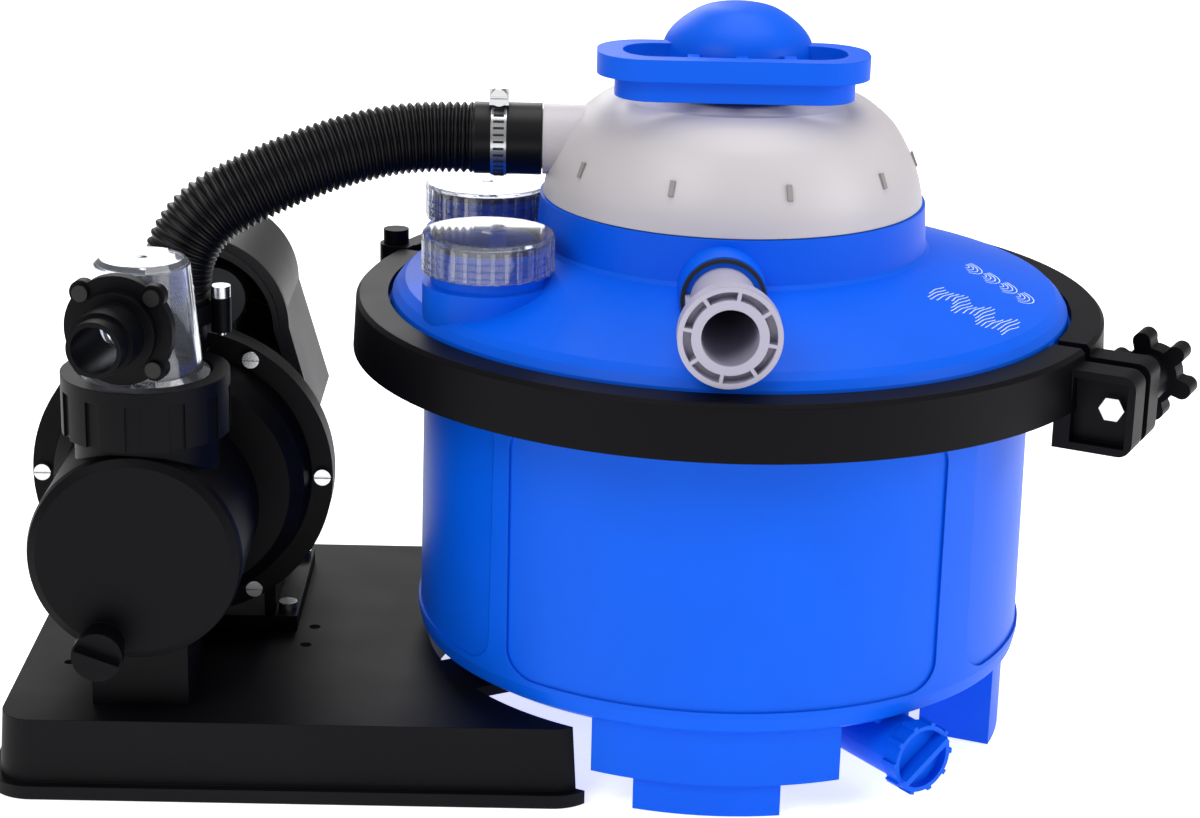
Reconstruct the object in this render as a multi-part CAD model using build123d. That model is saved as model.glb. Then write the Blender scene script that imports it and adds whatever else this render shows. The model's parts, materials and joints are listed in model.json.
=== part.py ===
"""Above-ground pool sand-filter set: strainer pump, hose, valve and filter tank on one base tray.

Millimetres, +Z up. The model is drawn about the tank's axis on the ground: +X towards the clamp
knob, -Y towards the return port. The last step moves it to the middle of its own footprint.
"""
import os
from math import cos, degrees, pi, radians, sin

from build123d import *

# ---- clearances and common sizes
RUN = 0.35          # gap round parts that turn
SEAT = 0.30         # gap between faces of parts that separate
SCREW_FIT = 0.15    # gap round a screw shank

# ---- filter tank
TANK_R = 160.0
TANK_FOOT_R = 161.6
TANK_WALL = 4.0
TRAY_Z = 40.0         # the tray's deck, which the tank's floor stands just above
TANK_FLOOR_Z = TRAY_Z + 6.0
TANK_FLANGE_Z = 206.5
FLANGE_R = 187.0
FLANGE_T = 7.0
SKIRT_R = 155.0
SKIRT_WALL = 4.0
SKIRT_Z = 18.0
SKIRT_FROM, SKIRT_TO = -116.0, -69.0
FOOT_ANGLES = (-94.0, -9.0, 42.0, 94.0)
FOOT_SWEEP = 28.0
FOOT_DEPTH = 38.0
PANEL_ANGLES = (-92.0, 0.0, 90.0, 180.0)
PANEL_HALF = 42.0
PANEL_Z0, PANEL_Z1 = 60.0, 192.0
PANEL_DEPTH = 1.3
SEAL_T = 1.4

# ---- tank lid
LID_NECK_R = 176.6
LID_SHOULDER_R = 169.0
LID_SHOULDER_Z = 236.5
LID_CONE_R = 101.0
LID_CONE_Z = 257.0
LID_TOP_Z = 281.0
LID_WALL = 4.0
NECK_CENTRES = ((-124.0, -68.0), (-128.0, 44.0))
NECK_R = 28.6
NECK_WALL = 4.0
NECK_TOP_Z = 269.0
NECK_CAP_R = 32.4
NECK_CAP_Z = 256.0
NECK_CAP_TOP_Z = 275.0
NECK_CAP_WALL = 2.4
PORT_X = -9.5
PORT_Z = 256.5
PORT_BOSS_R = 21.5
PORT_BOSS_Y = -119.0
PORT_TUBE_R = 16.2
PORT_RIB = 2.4
PORT_BORE_R = 13.4
PORT_END_Y = -184.0
PORT_FLANGE_R = 24.4
PORT_FLANGE_T = 9.0
PORT_HUB_R = 18.6
PORT_SPOKES = 8

# ---- clamp band
BAND_Z0, BAND_Z1 = 200.0, 228.0
BAND_R = 194.5
BAND_LIP_R = 177.8
BAND_FOOT_LIP_R = 167.0
BAND_SPLIT = -27.0
BAND_GAP = 9.0
EAR_T = 17.0
EAR_R0, EAR_R1 = 186.0, 226.0
EAR_Z0, EAR_Z1 = 181.0, 222.0
BOLT_R = 214.0
BOLT_Z = 204.0
BOLT_D = 8.0
BOLT_FLOAT = 0.45
BOLT_LENGTH = 66.0
KNOB_R = 23.0
KNOB_T = 16.0
KNOB_COLLAR = 21.0
KNOB_LOBES = 6
HINGE_R = 202.0
HINGE_D = 8.0

# ---- multiport valve
DOME_R = 98.0
DOME_Z = 281.5
DOME_TOP_Z = 333.5
DOME_WALL = 4.0
VALVE_PORT_Z = 308.0
VALVE_PORT_R = 18.0
VALVE_SPIGOT_R = 15.3
VALVE_SPIGOT_X = -133.0
VALVE_SHOULDER_X = -98.5
STEM_R = 9.0
HANDLE_Z = 339.5
HANDLE_BAND_Z = 350.5
HANDLE_TOP_Z = 361.5
HUB_R = 39.0
HUB_TOP_Z = 380.5
HANDLE_HALF = 68.0
HANDLE_X = -4.0
HANDLE_Y = -34.0
HANDLE_DEPTH = 29.0
PRESS = 4.0
ROTOR_R = 70.0

# ---- base tray
TRAY_X0, TRAY_X1 = -362.4, -71.2
TRAY_Y0, TRAY_Y1 = -139.7, 113.0
TRAY_WALL = 3.5
TRAY_CORNER = 16.0
TRAY_LIP = 7.0
TRAY_LIP_H = 7.0
TONGUE_ANGLES = (152.0, 208.0)
TONGUE_W = 40.0
TONGUE_R = 112.0

# ---- drain of the tank
DRAIN_ANGLE = -56.0
DRAIN_Z = 29.5
DRAIN_BOSS_R = 15.5
DRAIN_BORE_R = 10.5
DRAIN_FACE_R = 162.5
DRAIN_CAP_R = 17.5
DRAIN_CAP_T = 9.0
DRAIN_TEETH = 10

# ---- pump
PUMP_X = -284.0
SHAFT_Z = 131.0
VOLUTE_R = 78.5
VOLUTE_Y0, VOLUTE_Y1 = -48.0, -16.0
FLANGE_SCREWS = 6
FLANGE_SCREW_R = 73.2
POT_X = -294.0
POT_Z = 122.0
POT_R = 53.0
POT_Y0 = -131.0
POT_WALL = 4.0
BASKET_X, BASKET_Y = -291.5, -92.0
POT_NECK_R = 35.5
POT_NECK_Z = 196.0
RING_R = 41.5
RING_Z0, RING_Z1 = 178.0, 208.0
RING_CUTS = 12
CLEAR_R = 28.5
LID_STEP_R = 32.8
CLEAR_TOP_R = 23.5
CLEAR_TOP_Z = 265.0
CLEAR_WALL = 2.6
SUCTION_YAW = 10.0
SUCTION_Z = 238.0
SUCTION_PLATE_R = 27.0
SUCTION_REACH = 24.0
OUTLET_Y = -33.0
OUTLET_R = 15.3
OUTLET_Z = 236.0
MOTOR_R = 54.0
MOTOR_Y0, MOTOR_Y1 = -6.0, 114.0
SHAFT_R = 6.0
HOOD_R = 45.0
HOOD_Z = 194.0
HOOD_Y0, HOOD_Y1 = 30.0, 138.0
HOOD_WALL = 3.0
FOOT_Z = TRAY_Z
PUMP_DRAIN_Z = 78.0

# ---- hose between pump and valve
HOSE_R = 18.2
HOSE_BORE_R = 15.5
CUFF_R = 18.4
PUMP_CUFF_LENGTH = 13.5
HOSE_POINTS = (
    (-284.0, -33.0, 230.0), (-284.0, -33.0, 243.0), (-280.4, -32.2, 255.5), (-273.5, -30.5, 266.5),
    (-263.8, -28.0, 275.2), (-252.2, -24.9, 281.5), (-233.0, -19.5, 290.5), (-207.0, -12.0, 300.0),
    (-179.0, -4.0, 306.3), (-156.0, 0.0, 308.0), (-134.0, 0.0, 308.0),
)

nodes = {}


# ---- helpers -----------------------------------------------------------------------------------
def disc(x, y, z0, z1, r):
    """A vertical cylinder between two heights."""
    return Pos(x, y, z0) * Cylinder(r, z1 - z0, align=(Align.CENTER, Align.CENTER, Align.MIN))


def ring(x, y, z0, z1, r_out, r_in):
    """A vertical tube between two heights."""
    return disc(x, y, z0, z1, r_out) - disc(x, y, z0 - 1, z1 + 1, r_in)


def along(axis_at, direction, r, length):
    """A cylinder that starts at a point and runs along a direction."""
    frame = Plane(origin=axis_at, z_dir=direction)
    return frame * Cylinder(r, length, align=(Align.CENTER, Align.CENTER, Align.MIN))


def y_disc(x, z, y0, y1, r):
    """A cylinder along Y between two stations."""
    return along((x, y0, z), (0, 1, 0), r, y1 - y0)


def y_ring(x, z, y0, y1, r_out, r_in):
    """A tube along Y between two stations."""
    return y_disc(x, z, y0, y1, r_out) - y_disc(x, z, y0 - 1, y1 + 1, r_in)


def block(x0, x1, y0, y1, z0, z1):
    """A box between its two corners."""
    size = Box(x1 - x0, y1 - y0, z1 - z0, align=(Align.MIN, Align.MIN, Align.MIN))
    return Pos(x0, y0, z0) * size


def wedge(a0, a1, r, z0, z1):
    """A pie slice about the tank's axis, from one angle to another."""
    span = a1 - a0
    return Pos(0, 0, z0) * Rot(0, 0, a0) * extrude(
        make_face(CenterArc((0, 0), r, 0, span).edges() + [
            Line((r * cos(radians(span)), r * sin(radians(span))), (0, 0)), Line((0, 0), (r, 0))
        ]), z1 - z0)


def turned(points, x=0.0, y=0.0):
    """A solid of revolution about a vertical axis from (radius, height) points."""
    outline = Plane.XZ * make_face(Polyline(*points, close=True))
    return Pos(x, y, 0) * revolve(outline, Axis.Z)


def softened(points, first, last, steps=5):
    """The same profile with a smooth curve through its points from first to last."""
    curve = []
    for index in range(first, last):
        before = points[max(index - 1, first)]
        here, there = points[index], points[index + 1]
        after = points[min(index + 2, last)]
        for step in range(steps):
            t = step / steps
            curve.append(tuple(
                0.5 * (2 * b + (c - a) * t + (2 * a - 5 * b + 4 * c - d) * t ** 2
                       + (3 * b - a - 3 * c + d) * t ** 3)
                for a, b, c, d in zip(before, here, there, after)))
    return list(points[:first]) + curve + list(points[last:])


def y_turned(points, x, z):
    """A solid of revolution about an axis along Y from (radius, station) points."""
    outline = Plane.XY * make_face(Polyline(*points, close=True))
    return Pos(x, 0, z) * revolve(outline, Axis.Y)


def polar(r, angle, z=0.0):
    """A point at a radius and angle about the tank's axis."""
    return (r * cos(radians(angle)), r * sin(radians(angle)), z)


def heading(angle):
    """The horizontal unit vector at an angle."""
    return (cos(radians(angle)), sin(radians(angle)), 0)


def save(name, *shapes):
    """Keep a node's solids until the whole set is moved to its origin."""
    solids = []
    for shape in shapes:
        solids.extend(shape.solids())
    nodes[name] = solids


# ---- filter tank -------------------------------------------------------------------------------
def foot(angle, r_out):
    """One hollow foot, open underneath, on an arc of the tank's base."""
    half = FOOT_SWEEP / 2
    wall_angle = degrees(SKIRT_WALL / r_out)
    outer = wedge(angle - half, angle + half, r_out, 0, TANK_FLOOR_Z + 1)
    outer -= disc(0, 0, -1, TANK_FLOOR_Z + 2, r_out - FOOT_DEPTH)
    inner = wedge(angle - half + wall_angle, angle + half - wall_angle, r_out - SKIRT_WALL,
                  -1, TANK_FLOOR_Z - SKIRT_WALL)
    inner -= disc(0, 0, -2, TANK_FLOOR_Z, r_out - FOOT_DEPTH + SKIRT_WALL)
    return outer - inner


def wall_panel(angle):
    """A shallow recess with rounded corners, let into the outside of the tank's wall."""
    height = PANEL_Z1 - PANEL_Z0
    width = 2 * TANK_R * sin(radians(PANEL_HALF))
    middle = polar(80, angle, PANEL_Z0 + height / 2)
    at = Plane(origin=middle, x_dir=heading(angle + 90), z_dir=heading(angle))
    window = at * extrude(RectangleRounded(width, height, 14), 100)
    core = turned([
        (0, PANEL_Z0 - 5), (TANK_FOOT_R - PANEL_DEPTH, PANEL_Z0 - 5),
        (TANK_R - PANEL_DEPTH, TANK_FLANGE_Z - 6), (0, TANK_FLANGE_Z - 6),
    ])
    return window - core


def make_tank_body():
    """The moulded tank: wall, floor, flange, skirt, feet and drain boss."""
    inside_r = TANK_R - TANK_WALL
    flange_top = TANK_FLANGE_Z + FLANGE_T
    body = turned([
        (0, TANK_FLOOR_Z), (TANK_R - 6, TANK_FLOOR_Z), (TANK_FOOT_R - 1.5, TANK_FLOOR_Z + 4),
        (TANK_FOOT_R, TANK_FLOOR_Z + 11), (TANK_R, TANK_FLANGE_Z - 6), (TANK_R + 4, TANK_FLANGE_Z),
        (FLANGE_R, TANK_FLANGE_Z), (FLANGE_R, flange_top), (inside_r, flange_top),
        (inside_r, TANK_FLOOR_Z + 14), (inside_r - 8, TANK_FLOOR_Z + 5), (0, TANK_FLOOR_Z + 5),
    ])
    for angle in PANEL_ANGLES:
        body -= wall_panel(angle)
    for sign in (1, -1):
        start, end = sorted((sign * SKIRT_FROM, sign * SKIRT_TO))
        arc = wedge(start, end, SKIRT_R, SKIRT_Z, TANK_FLOOR_Z + 1)
        body += arc - disc(0, 0, SKIRT_Z - 1, TANK_FLOOR_Z + 2, SKIRT_R - SKIRT_WALL)
    for angle in FOOT_ANGLES:
        body += foot(angle, SKIRT_R - 3.5 if abs(angle) > 60 else SKIRT_R)
    for angle in TONGUE_ANGLES:
        x, y, _ = polar(TONGUE_R + 14, angle)
        body += disc(x, y, TRAY_Z, TANK_FLOOR_Z + 1, 9)
        body -= disc(x, y, TRAY_Z - 1, TANK_FLOOR_Z + 1, 2.0)
    out = heading(DRAIN_ANGLE)
    root = polar(DRAIN_FACE_R - 48, DRAIN_ANGLE, DRAIN_Z)
    body += along(root, out, DRAIN_BOSS_R, 48)
    web = Pos(*polar(DRAIN_FACE_R - 28, DRAIN_ANGLE, TANK_FLOOR_Z - 7)) * Rot(0, 0, DRAIN_ANGLE)
    body += web * Box(30, 20, 16)
    bore_start = polar(DRAIN_FACE_R - 42, DRAIN_ANGLE, DRAIN_Z)
    body -= along(bore_start, out, DRAIN_BORE_R, 60)
    sump = polar(DRAIN_FACE_R - 31, DRAIN_ANGLE)
    body -= disc(sump[0], sump[1], DRAIN_Z, TANK_FLOOR_Z + 8, 8)
    save("tank_body", body)


def make_drain_cap():
    """Toothed screw cap with a raised finger wing, and its flat seal."""
    out = heading(DRAIN_ANGLE)
    seal_at = polar(DRAIN_FACE_R + 0.02, DRAIN_ANGLE, DRAIN_Z)
    seal = along(seal_at, out, DRAIN_BOSS_R - 1, 1.2) - along(seal_at, out, DRAIN_BORE_R + 0.4, 1.2)
    save("drain_seal", seal)
    face_r = DRAIN_FACE_R + 1.2 + SEAT
    cap = along(polar(face_r, DRAIN_ANGLE, DRAIN_Z), out, DRAIN_CAP_R, DRAIN_CAP_T)
    plane = Plane(origin=polar(face_r, DRAIN_ANGLE, DRAIN_Z), z_dir=out)
    for index in range(DRAIN_TEETH):
        tooth = Rot(0, 0, index * 360 / DRAIN_TEETH) * Pos(DRAIN_CAP_R, 0, DRAIN_CAP_T / 2)
        cap += plane * tooth * Box(3, 2.6, DRAIN_CAP_T)
    dish = plane * Pos(0, 0, DRAIN_CAP_T) * Cylinder(DRAIN_CAP_R - 2.4, 9)
    cap -= dish
    wing = plane * Rot(0, 0, 35) * Pos(0, 0, DRAIN_CAP_T - 1) * Box(2 * DRAIN_CAP_R - 4, 3.2, 10)
    cap += wing
    plug_at = polar(face_r - 15, DRAIN_ANGLE, DRAIN_Z)
    cap += along(plug_at, out, DRAIN_BORE_R - RUN, 16)
    save("drain_cap", cap)


# ---- lid ---------------------------------------------------------------------------------------
def make_tank_lid():
    """The lid: flange, cone, raised collar, two sight necks and the return boss."""
    z_flange = TANK_FLANGE_Z + FLANGE_T + SEAL_T
    z_top = z_flange + FLANGE_T
    mid_r = LID_NECK_R - 1
    lid = turned([
        (FLANGE_R, z_flange), (FLANGE_R, z_top), (LID_NECK_R, z_top), (mid_r, z_top + 7),
        (mid_r - 2.6, z_top + 11), (LID_SHOULDER_R, LID_SHOULDER_Z), (LID_CONE_R + 2, LID_CONE_Z),
        (LID_CONE_R, LID_CONE_Z + 2), (LID_CONE_R - 1.5, LID_TOP_Z), (86, LID_TOP_Z),
        (86, LID_TOP_Z - 5), (LID_CONE_R - 6, LID_TOP_Z - 5), (LID_CONE_R - 4, LID_CONE_Z - 4),
        (LID_SHOULDER_R - 4, LID_SHOULDER_Z - LID_WALL), (LID_NECK_R - 8, z_top),
        (LID_NECK_R - 8, z_flange),
    ])
    for x, y in NECK_CENTRES:
        lid += disc(x, y, 232, NECK_TOP_Z, NECK_R)
        lid += disc(x, y, 232, NECK_CAP_Z - 6, NECK_R + 4)
        lid -= ring(x, y, NECK_CAP_Z - 0.6, LID_TOP_Z + 1, NECK_CAP_R + 1.6, NECK_R)
    lid += y_disc(PORT_X, PORT_Z, PORT_BOSS_Y, -84, PORT_BOSS_R)
    envelope = lid + disc(0, 0, z_flange, LID_CONE_Z, LID_CONE_R)
    hollow = turned([
        (0, 200), (LID_NECK_R - 8, 200), (LID_NECK_R - 8, z_top),
        (LID_SHOULDER_R - 4, LID_SHOULDER_Z - LID_WALL), (LID_CONE_R - 4, LID_CONE_Z - 4),
        (LID_CONE_R - 6, LID_TOP_Z - 5), (86, LID_TOP_Z - 5), (86, LID_TOP_Z + 2), (0, LID_TOP_Z + 2),
    ])
    lid -= hollow
    for x, y in NECK_CENTRES:
        lid -= disc(x, y, 200, NECK_TOP_Z + 1, NECK_R - NECK_WALL)
    channel_r = PORT_BOSS_R - 0.4
    liner = y_disc(PORT_X, PORT_Z, -165, -90, channel_r + 3.5)
    lid += liner & envelope
    lid -= y_disc(PORT_X, PORT_Z, -200, PORT_BOSS_Y, channel_r)
    lid -= block(PORT_X - channel_r, PORT_X + channel_r, -200, PORT_BOSS_Y, PORT_Z, 290)
    lid -= y_disc(PORT_X, PORT_Z, PORT_BOSS_Y - 1, -80, PORT_TUBE_R + 0.05)
    save("tank_lid", lid)
    save("tank_seal", ring(0, 0, TANK_FLANGE_Z + FLANGE_T, z_flange, FLANGE_R - 4, LID_NECK_R - 5))


def make_neck_cap(name, x, y):
    """A clear screw cap with grip ribs and its ring seal."""
    cap = disc(x, y, NECK_CAP_Z, NECK_CAP_TOP_Z, NECK_CAP_R)
    for index in range(18):
        rib = Rot(0, 0, index * 20) * Pos(NECK_CAP_R, 0, NECK_CAP_Z + 9)
        cap += Pos(x, y, 0) * rib * Box(1.0, 1.6, 18)
    cap -= disc(x, y, NECK_CAP_Z - 1, NECK_CAP_TOP_Z - NECK_CAP_WALL, NECK_R + RUN)
    cap -= disc(x, y, NECK_CAP_TOP_Z - 0.8, NECK_CAP_TOP_Z + 1, 3)
    save(f"sight_cap_{name}", cap)
    seat_z = NECK_TOP_Z + 0.02
    save(f"sight_seal_{name}", ring(x, y, seat_z, seat_z + 3.0, NECK_R - 0.2, NECK_R - 3.4))


def make_return_connector():
    """Grey return tube: ribbed barrel, and a flange with slots between spokes."""
    tube = y_disc(PORT_X, PORT_Z, PORT_END_Y, -88, PORT_TUBE_R)
    for turn in (0, 90, 180):
        rib = Pos(PORT_X, 0, PORT_Z) * Rot(0, turn, 0) * Pos(PORT_TUBE_R, 0, 0)
        tube += rib * block(-1, PORT_RIB, PORT_END_Y + 2, PORT_BOSS_Y - SEAT, -2.6, 2.6)
    tube += y_disc(PORT_X, PORT_Z, PORT_END_Y, PORT_END_Y + PORT_FLANGE_T, PORT_FLANGE_R)
    slot = y_ring(PORT_X, PORT_Z, PORT_END_Y - 1, PORT_END_Y + PORT_FLANGE_T - 2, PORT_FLANGE_R - 2.6,
                  PORT_HUB_R - 0.6)
    for index in range(PORT_SPOKES):
        spoke = Rot(0, 10 + index * 360 / PORT_SPOKES, 0) * block(0, 40, -200, -100, -0.9, 0.9)
        slot -= Pos(PORT_X, 0, PORT_Z) * spoke
    tube -= slot
    tube -= y_disc(PORT_X, PORT_Z, PORT_END_Y - 1, -80, PORT_BORE_R)
    save("return_connector", tube)
    seal_y = PORT_BOSS_Y - 0.02
    save("return_seal", y_ring(PORT_X, PORT_Z, seal_y - 1.6, seal_y, PORT_BOSS_R - 0.8,
                               PORT_TUBE_R + 2.7))


# ---- clamp band --------------------------------------------------------------------------------
def band_ring():
    """The whole C-section band before it is split."""
    groove_z0 = TANK_FLANGE_Z - 0.4
    groove_z1 = TANK_FLANGE_Z + 2 * FLANGE_T + SEAL_T + 0.4
    return turned([
        (BAND_FOOT_LIP_R, BAND_Z0), (BAND_R + 1.5, BAND_Z0), (BAND_R, BAND_Z1 - 2),
        (BAND_R - 2, BAND_Z1), (BAND_LIP_R, BAND_Z1), (BAND_LIP_R, groove_z1),
        (FLANGE_R + 0.5, groove_z1), (FLANGE_R + 0.5, groove_z0), (BAND_FOOT_LIP_R, groove_z0),
    ])


def ear(side):
    """A radial clamp ear; side -1 is the front half's, +1 the rear half's."""
    start = side * BAND_GAP / 2
    y0, y1 = sorted((start, start + side * EAR_T))
    plate = block(EAR_R0, EAR_R1, y0, y1, EAR_Z0, EAR_Z1)
    corners = plate.edges().filter_by(Axis.Y).group_by(Axis.X)[-1]
    plate = fillet(corners, 7)
    pocket_face = start + side * EAR_T
    p0, p1 = sorted((pocket_face - side * 7, pocket_face + side))
    if side < 0:
        plate -= block(EAR_R0 + 8.5, EAR_R1 - 4, p0, p1, EAR_Z0 + 4, EAR_Z1 - 4)
    plate += block(EAR_R0 - 6, EAR_R0 + 2, y0, y1, BAND_Z0 + 1, EAR_Z1)
    plate -= disc(0, 0, EAR_Z0 - 1, EAR_Z1 + 1, FLANGE_R + 0.5) & block(0, 400, -60, 60, 206, 222)
    plate -= disc(0, 0, EAR_Z0 - 1, BAND_Z0 + 3, BAND_FOOT_LIP_R + 18)
    plate -= y_disc(BOLT_R, BOLT_Z, -40, 40, BOLT_D / 2 + 0.9)
    return Rot(0, 0, BAND_SPLIT) * plate


def hinge_knuckle(z0, z1):
    """One leaf of the band's hinge, on the far side from the knob."""
    at = BAND_SPLIT + 180
    x, y, _ = polar(HINGE_R, at)
    leaf = disc(x, y, z0, z1, 9)
    neck = Rot(0, 0, at) * block(BAND_R - 4, HINGE_R, -8, 8, z0, z1)
    neck -= disc(0, 0, z0 - 1, z1 + 1, FLANGE_R + 0.5)
    return leaf + neck - disc(x, y, z0 - 1, z1 + 1, HINGE_D / 2 + 0.06)


def make_clamp():
    """Two band halves, the hinge bolt, the clamp bolt with its washer, and the star knob."""
    at = BAND_SPLIT + 180
    half_gap = degrees(BAND_GAP / 2 / BAND_R)
    hinge_gap = degrees(11 / BAND_R)
    front = band_ring() & wedge(at + hinge_gap, 360 + BAND_SPLIT - half_gap, 230, 190, 240)
    rear = band_ring() & wedge(BAND_SPLIT + half_gap, at - hinge_gap, 230, 190, 240)
    hx, hy, _ = polar(HINGE_R, at)
    mid0, mid1 = BAND_Z0 + 9, BAND_Z0 + 19
    clear = disc(hx, hy, 190, 240, 10.2)
    mid = hinge_knuckle(mid0, mid1)
    outer = hinge_knuckle(BAND_Z0 + 1, mid0 - SEAT) + hinge_knuckle(mid1 + SEAT, BAND_Z1)
    front_arm = Rot(0, 0, at) * block(BAND_R - 5, HINGE_R - 2, 0, 24, mid0, mid1)
    rear_arm = Rot(0, 0, at) * block(BAND_R - 5, HINGE_R - 2, -24, 0, BAND_Z0 + 1, mid0 - SEAT)
    rear_arm += Rot(0, 0, at) * block(BAND_R - 5, HINGE_R - 2, -24, 0, mid1 + SEAT, BAND_Z1)
    bore = disc(0, 0, 190, 240, FLANGE_R + 0.5)
    pin_hole = disc(hx, hy, 190, 240, HINGE_D / 2 + 0.06)
    front = (front - clear) + mid + (front_arm - bore - pin_hole) + ear(-1)
    rear = (rear - clear) + outer + (rear_arm - bore - pin_hole) + ear(1)
    save("clamp_band_front", front)
    save("clamp_band_rear", rear)
    pin = disc(hx, hy, BAND_Z0 - 2, BAND_Z1 + SEAT, HINGE_D / 2)
    pin += disc(hx, hy, BAND_Z1 + SEAT, BAND_Z1 + 8, 7)
    pin += disc(hx, hy, BAND_Z0 - 6, BAND_Z0 + 1 - SEAT, 6.5)
    save("clamp_hinge_bolt", pin)
    turn = Rot(0, 0, BAND_SPLIT)
    head_y = -(BAND_GAP / 2 + EAR_T - 7) - 0.02
    bolt = y_disc(BOLT_R, BOLT_Z, head_y, head_y + BOLT_LENGTH, BOLT_D / 2)
    bolt += Pos(BOLT_R, head_y - 2.5, BOLT_Z) * Rot(90, 0, 0) * extrude(RegularPolygon(6.5, 6), 2.5,
                                                                       both=True)
    save("clamp_bolt", turn * bolt)
    washer_y = BAND_GAP / 2 + EAR_T + 0.02
    washer = y_ring(BOLT_R, BOLT_Z, washer_y, washer_y + 2, 9, BOLT_D / 2 + BOLT_FLOAT)
    save("clamp_washer", turn * washer)
    save("clamp_knob", turn * knob(washer_y + 2 + SEAT))


def knob(y0):
    """Six-lobed star knob with a collar, bored for the clamp bolt."""
    body = y_disc(BOLT_R, BOLT_Z, y0, y0 + KNOB_T + KNOB_COLLAR, 11.5)
    rim_y = y0 + KNOB_COLLAR
    body += y_disc(BOLT_R, BOLT_Z, rim_y, rim_y + KNOB_T - 3, KNOB_R - 8)
    for index in range(KNOB_LOBES):
        spin = Pos(BOLT_R, 0, BOLT_Z) * Rot(0, 15 + index * 360 / KNOB_LOBES, 0)
        body += spin * block(0, KNOB_R - 4.5, rim_y, rim_y + KNOB_T - 3, -4.5, 4.5)
        body += spin * Pos(KNOB_R - 4.6, rim_y, 0) * Rot(-90, 0, 0) * Cylinder(
            4.6, KNOB_T - 2, align=(Align.CENTER, Align.CENTER, Align.MIN))
    return body - y_disc(BOLT_R, BOLT_Z, y0 - 1, y0 + KNOB_COLLAR + KNOB_T - 4, BOLT_D / 2 + BOLT_FLOAT)


# ---- multiport valve ---------------------------------------------------------------------------
def make_valve():
    """Valve dome with its side spigot, the seat plate, gasket, diverter, spring and washer."""
    top = DOME_TOP_Z
    outer = turned(softened([
        (0, DOME_Z), (DOME_R, DOME_Z), (DOME_R - 1.6, DOME_Z + 9), (DOME_R - 4.1, DOME_Z + 17),
        (DOME_R - 7.7, DOME_Z + 25), (DOME_R - 12.8, DOME_Z + 34), (DOME_R - 18, DOME_Z + 40.5),
        (DOME_R - 28, top - 3.5), (DOME_R - 36, top), (0, top),
    ], 1, 8))
    spigot = (-1, 0, 0)
    outer += along((-62, 0, VALVE_PORT_Z), spigot, VALVE_PORT_R, -62 - VALVE_SHOULDER_X)
    outer += along((-62, 0, VALVE_PORT_Z), spigot, VALVE_SPIGOT_R, -62 - VALVE_SPIGOT_X)
    wall = DOME_WALL
    inner = turned([
        (0, DOME_Z - 1), (DOME_R - wall, DOME_Z - 1), (DOME_R - wall - 2, DOME_Z + 9),
        (DOME_R - wall - 8, DOME_Z + 24), (DOME_R - wall - 18, DOME_Z + 38),
        (DOME_R - 38, top - wall), (0, top - wall),
    ])
    dome = outer - inner - along((-60, 0, VALVE_PORT_Z), spigot, VALVE_SPIGOT_R - 2.5, 80)
    dome -= disc(0, 0, top - 10, top + 1, STEM_R + RUN)
    save("valve_dome", dome)
    plate_z = LID_TOP_Z + 0.05
    seat = disc(0, 0, plate_z - 12, DOME_Z + 8, 84) + disc(0, 0, plate_z + 0.6, DOME_Z + 8, 91)
    for index in range(4):
        port = Rot(0, 0, 45 + index * 90) * Pos(46, 0, 0)
        seat -= port * disc(0, 0, 260, 300, 14)
    seat -= disc(0, 0, 260, 300, 12)
    save("valve_seat_plate", seat)
    gasket_z = DOME_Z + 8.05
    gasket = ring(0, 0, gasket_z, gasket_z + 2, ROTOR_R, ROTOR_R - 6)
    gasket += ring(0, 0, gasket_z, gasket_z + 2, 22, 16)
    for index in range(4):
        gasket += Rot(0, 0, index * 90) * block(20, ROTOR_R - 3, -2.5, 2.5, gasket_z, gasket_z + 2)
    save("valve_gasket", gasket)
    rotor_z = gasket_z + 2 + PRESS + SEAT
    rotor = disc(0, 0, rotor_z, rotor_z + 6, ROTOR_R)
    rotor -= Rot(0, 0, 135) * Pos(46, 0, 0) * disc(0, 0, rotor_z - 1, rotor_z + 7, 14)
    rotor += disc(0, 0, rotor_z, rotor_z + 14, STEM_R + 4)
    rotor += disc(0, 0, rotor_z, HANDLE_Z + 10, STEM_R)
    save("valve_diverter", rotor)
    hub_under = HANDLE_Z + 1
    save("valve_thrust_ring", ring(0, 0, hub_under - 1.6 - SEAT, hub_under - SEAT, 22, STEM_R + RUN))
    save("valve_spring", wave_spring())


def wave_spring():
    """Flat return spring under the handle, as three turns joined by short risers."""
    z0 = DOME_TOP_Z + 0.05
    pitch = 1.9
    coils = ring(0, 0, z0, z0 + 0.9, 20, 14)
    for index in range(1, 3):
        z = z0 + index * pitch
        riser = Rot(0, 0, index * 140) * block(14.5, 19.5, -1.5, 1.5, z - pitch + 0.4, z + 0.4)
        coils += ring(0, 0, z, z + 0.9, 20, 14) + riser
    return coils


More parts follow.
